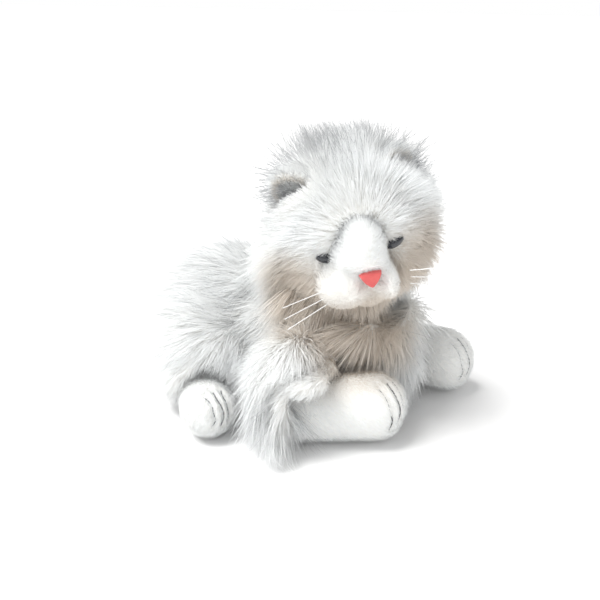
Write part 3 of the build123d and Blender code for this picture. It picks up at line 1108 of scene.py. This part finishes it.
class PLUSH_CAT_OT_ears(bpy.types.Operator):
    """Lays short pile on the ears and their linings"""

    bl_idname = "plush_cat.ears"
    bl_label = "Ears"

    def execute(self, context):
        c, s = colours(), sizes()
        lining_hair = material_named(
            "Ear lining pile", hair_material, c.lining_deep, c.lining, c.lining_deep
        )
        lining_cloth = material_named(
            "Ear lining backing", cloth_material, c.lining, c.lining_deep
        )
        for side in SIDES:
            body = f"ear_{side}"
            for part, slot, hair, cloth, length, count in (
                ("back", "short_pile", short_hair(), backing(), 0.0085, 9000),
                ("lining", "ear_lining", lining_hair, lining_cloth, 0.0035, 4000),
            ):
                node = f"{body}_{part}"
                form = stuffed_form([node], 0.0012, 0.0005, 3)
                base = middle(node) - np.array([0, 0, 0.03])
                p, n = places(form), outward(form)
                give(form, "comb", lie_flat(unit(p - base), n))
                set_pile(form, length, 0.4, 1.0)
                skin = sew(f"{node}_skin", form, body, cloth, slot, node)
                comb_out(
                    f"{node}_pile", form, body, slot, hair, count, 500 + len(node),
                    Width=0.0004, Spread=0.3, Segments=3, Droop=0.1,
                    **{"Tuft pull": 0.1, "Tuft size": 0.004},
                )
        return {"FINISHED"}


def gloss_material(name, colour, deep):
    """Moulded plastic with a clear coat and faint moulding marks."""
    material, g = new_material(name)
    coordinates = g.put("ShaderNodeTexCoord").outputs["Object"]
    grain = g.put(
        "ShaderNodeTexNoise", {"Vector": coordinates, "Scale": 700.0, "Detail": 2.0}
    ).outputs["Fac"]
    shade = blend_colours(g, grain, rgba(deep), rgba(colour))
    bump = g.put(
        "ShaderNodeBump", {"Strength": 0.05, "Distance": 0.0002, "Height": grain}
    ).outputs[0]
    shader = g.put(
        "ShaderNodeBsdfPrincipled",
        {
            "Base Color": shade,
            "Roughness": 0.18,
            "Coat Weight": 0.5,
            "Coat Roughness": 0.06,
            "Normal": bump,
        },
    )
    g.put("ShaderNodeOutputMaterial", {0: shader.outputs[0]})
    return material


def flock_material(name, colour, deep):
    """Short flock on moulded plastic."""
    material, g = new_material(name)
    coordinates = g.put("ShaderNodeTexCoord").outputs["Object"]
    fine, slow = (
        g.put(
            "ShaderNodeTexNoise", {"Vector": coordinates, "Scale": scale, "Detail": detail}
        ).outputs["Fac"]
        for scale, detail in ((1600.0, 4.0), (160.0, 2.0))
    )
    share = g.math("MULTIPLY", g.math("ADD", fine, slow), 0.5)
    shade = blend_colours(g, share, rgba(deep), rgba(colour))
    bump = g.put("ShaderNodeBump", {"Strength": 0.6, "Distance": 0.0004, "Height": fine}).outputs[0]
    shader = g.put(
        "ShaderNodeBsdfPrincipled",
        {"Base Color": shade, "Roughness": 0.75, "Sheen Weight": 0.4, "Normal": bump},
    )
    g.put("ShaderNodeOutputMaterial", {0: shader.outputs[0]})
    return material


def smooth_copy(node):
    """A frame node's mesh, shaded smooth."""
    mesh = nodes_mesh(node)
    mesh.polygons.foreach_set("use_smooth", [True] * len(mesh.polygons))
    return mesh


def sleepy(points, side):
    """An eye widened, narrowed, turned up at its outer corner and set further out."""
    outer = ACROSS if side == "left" else -ACROSS
    up = unit(np.cross(ACROSS, FACING))
    up = up if up[2] > 0 else -up
    away = points - EYES[side]
    wide, high = away @ outer, away @ up
    rest = away - np.outer(wide, outer) - np.outer(high, up)
    wide, high = wide * EYE_WIDER, high * EYE_LOWER
    c, s = math.cos(EYE_TILT), math.sin(EYE_TILT)
    wide, high = wide * c - high * s, wide * s + high * c
    return EYES[side] + rest + np.outer(wide, outer) + np.outer(high, up) + FACING * EYE_OUT


class PLUSH_CAT_OT_face(bpy.types.Operator):
    """Sets the eyes, the nose and the whiskers"""

    bl_idname = "plush_cat.face"
    bl_label = "Face"

    def execute(self, context):
        c = colours()
        eye = material_named("Eye plastic", gloss_material, c.eye, c.eye_deep)
        for side in SIDES:
            mesh = smooth_copy(f"eye_{side}")
            move(mesh, sleepy(places(mesh), side))
            hidden = (f"eye_{side}", f"eye_{side}_washer")
            sew(f"eye_{side}_shell", mesh, "head", eye, "eye_plastic", *hidden)
        nose = stuffed_form(["nose"], 0.0006, 0.0, 4)
        flock = material_named("Nose flock", flock_material, c.nose, c.nose_deep)
        sew("nose_shell", nose, "head", flock, "nose_plastic", "nose", "nose_washer")
        hair = material_named("Whisker nylon", gloss_material, c.whisker, c.whisker)
        for n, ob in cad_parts.items():
            if n.startswith("whisker") and "pad" not in n:
                ob.data.materials.clear()
                ob.data.materials.append(hair)
        return {"FINISHED"}


LENS, SENSOR = 53, 36
SHIFT = 5 / 600, 2 / 600
AZIMUTH, ELEVATION, CAMERA_AWAY = -68, 21, 0.75
TARGET = 0, 0, 0.08
FLOOR_SIZE, FLOOR_BELOW = 6.0, 0.0005
AMBIENT = 0.5  # of the world's light; what the camera sees of it is white


class PLUSH_CAT_OT_stage(bpy.types.Operator):
    """Lays the floor, lights it and sets the camera"""

    bl_idname = "plush_cat.stage"
    bl_label = "Stage"

    def execute(self, context):
        scene = context.scene
        bm = bmesh.new()
        bmesh.ops.create_grid(bm, x_segments=1, y_segments=1, size=FLOOR_SIZE)
        mesh = bpy.data.meshes.new("floor")
        bm.to_mesh(mesh)
        bm.free()
        floor = add_object("floor", mesh)
        floor.location.z = -FLOOR_BELOW
        material, g = new_material("Pale floor")
        paint = {"Base Color": rgba(colours().floor), "Roughness": 0.9}
        shader = g.put("ShaderNodeBsdfPrincipled", paint)
        g.put("ShaderNodeOutputMaterial", {0: shader.outputs[0]})
        mesh.materials.append(material)
        world = bpy.data.worlds.new("Studio")
        world.use_nodes = True
        w = Graph(world.node_tree)
        world.node_tree.nodes.clear()
        seen = w.put("ShaderNodeLightPath").outputs["Is Camera Ray"]
        strength = w.math("MULTIPLY_ADD", seen, 1 - AMBIENT, AMBIENT)
        sky = w.put("ShaderNodeBackground", {0: (1, 1, 1, 1), 1: strength})
        w.put("ShaderNodeOutputWorld", {0: sky.outputs[0]})
        scene.world = world
        for name, kind, spot, size, power, tint in (
            ("key", "SUN", (-0.26, 0.38, 0.9), 35.0, 3.6, (1.0, 0.997, 0.99)),
            ("fill", "AREA", (-1.5, -0.2, 1.1), 1.2, 4.0, (0.95, 0.98, 1.0)),
        ):
            lamp = bpy.data.lights.new(name, kind)
            lamp.energy, lamp.color = power, tint
            if kind == "SUN":
                lamp.angle = math.radians(size)
            else:
                lamp.size = size
            ob = bpy.data.objects.new(name, lamp)
            ob.location = spot
            ob.rotation_mode = "QUATERNION"
            aim = -Vector(spot) if kind == "SUN" else Vector(TARGET) - Vector(spot)
            ob.rotation_quaternion = aim.to_track_quat("-Z", "Y")
            scene.collection.objects.link(ob)
        data = bpy.data.cameras.new("camera")
        data.lens, data.sensor_width = LENS, SENSOR
        data.shift_x, data.shift_y = SHIFT
        camera = bpy.data.objects.new("camera", data)
        a, e = math.radians(AZIMUTH), math.radians(ELEVATION)
        back = Vector((math.sin(a) * math.cos(e), -math.cos(a) * math.cos(e), math.sin(e)))
        camera.location = Vector(TARGET) + back * CAMERA_AWAY
        camera.rotation_mode = "QUATERNION"
        camera.rotation_quaternion = (-back).to_track_quat("-Z", "Y")
        scene.collection.objects.link(camera)
        scene.camera = camera
        scene.view_settings.view_transform = "Standard"
        return {"FINISHED"}


# ---------------------------------------------------------------- settings and panel


def colour_setting(name, description, default):
    return bpy.props.FloatVectorProperty(
        name=name, description=description, default=default, min=0, max=1, size=3, subtype="COLOR"
    )


class PLUSH_CAT_PG_colours(bpy.types.PropertyGroup):
    """Colours of the cloths, threads and plastics"""

    coat: colour_setting("Coat", "Tips of the white pile", (0.965, 0.978, 0.985))
    # Roots of the long and short pile, darker and warmer than the tips: painted shade in the depth of the
    # pile
    root: colour_setting("Roots", "Roots of the long pile", (0.94, 0.93, 0.905))
    short_root: colour_setting("Short roots", "Roots of the short pile", (0.93, 0.94, 0.94))
    shade: colour_setting("Shade", "The warmer hairs in the coat", (0.955, 0.95, 0.93))
    # Colour of the painted shade in the hollows under the head
    hollow: colour_setting("Painted shade", "Pile in the hollows under the head", (0.74, 0.66, 0.57))
    # Dark grey stray tips: painted shade on hairs that are white
    stray: colour_setting("Stray hairs", "Tips of the stray hairs", (0.27, 0.28, 0.30))
    lining: colour_setting("Ear lining", "Pile inside the ears", (0.97, 0.945, 0.91))
    # Lining roots, deeper than the lining: painted shade in the depth of the pile, and the tone of the
    # darker lining hairs and weave
    lining_deep: colour_setting("Ear lining roots", "Roots inside the ears", (0.95, 0.915, 0.865))
    nose: colour_setting("Nose", "Flock of the nose", (0.85, 0.16, 0.14))
    nose_deep: colour_setting("Nose hollows", "Deep flock of the nose", (0.60, 0.07, 0.08))
    eye: colour_setting("Eyes", "Plastic of the eyes", (0.03, 0.035, 0.045))
    eye_deep: colour_setting("Eye depths", "Darkest plastic of the eyes", (0.008, 0.008, 0.012))
    thread: colour_setting("Toe thread", "Thread of the toe lines", (0.10, 0.10, 0.11))
    whisker: colour_setting("Whiskers", "Nylon of the whiskers", (0.86, 0.86, 0.84))
    floor: colour_setting("Floor", "The floor", (0.96, 0.96, 0.96))


class PLUSH_CAT_PG_sizes(bpy.types.PropertyGroup):
    """Counts and sizes of the pile"""

    hair_width: bpy.props.FloatProperty(
        name="Hair width",
        description="Width of a long hair at its root",
        default=0.0005,
        min=0.0001,
        unit="LENGTH",
    )
    coat_hairs: bpy.props.IntProperty(
        name="Hairs in a coat",
        description="Hairs in one layer of long pile",
        default=36000,
        min=100,
    )
    foot_hairs: bpy.props.IntProperty(
        name="Hairs on a foot", description="Hairs on one foot", default=15000, min=100
    )
    thread_radius: bpy.props.FloatProperty(
        name="Thread radius",
        description="Radius of a toe thread",
        default=0.00045,
        min=0.0001,
        unit="LENGTH",
    )


MAKERS = (
    PLUSH_CAT_OT_trunk,
    PLUSH_CAT_OT_head,
    PLUSH_CAT_OT_tail,
    PLUSH_CAT_OT_feet,
    PLUSH_CAT_OT_ears,
    PLUSH_CAT_OT_face,
    PLUSH_CAT_OT_stage,
)


class PLUSH_CAT_PT_panel(bpy.types.Panel):
    """Lists the makers and the settings"""

    bl_label = "Plush cat"
    bl_idname = "PLUSH_CAT_PT_panel"
    bl_space_type = "VIEW_3D"
    bl_region_type = "UI"
    bl_category = "Plush cat"

    def draw(self, context):
        for maker in MAKERS:
            self.layout.operator(maker.bl_idname)
        for group in (context.scene.plush_cat_sizes, context.scene.plush_cat_colours):
            for key in group.__annotations__:
                self.layout.prop(group, key)


CLASSES = (PLUSH_CAT_PG_colours, PLUSH_CAT_PG_sizes, *MAKERS, PLUSH_CAT_PT_panel)


def register():
    for c in CLASSES:
        bpy.utils.register_class(c)
    bpy.types.Scene.plush_cat_colours = bpy.props.PointerProperty(type=PLUSH_CAT_PG_colours)
    bpy.types.Scene.plush_cat_sizes = bpy.props.PointerProperty(type=PLUSH_CAT_PG_sizes)


def unregister():
    del bpy.types.Scene.plush_cat_sizes
    del bpy.types.Scene.plush_cat_colours
    for c in reversed(CLASSES):
        bpy.utils.unregister_class(c)


def main():
    register()
    for maker in MAKERS:
        group, call = maker.bl_idname.split(".")
        getattr(getattr(bpy.ops, group), call)()


if __name__ == "__main__":
    main()
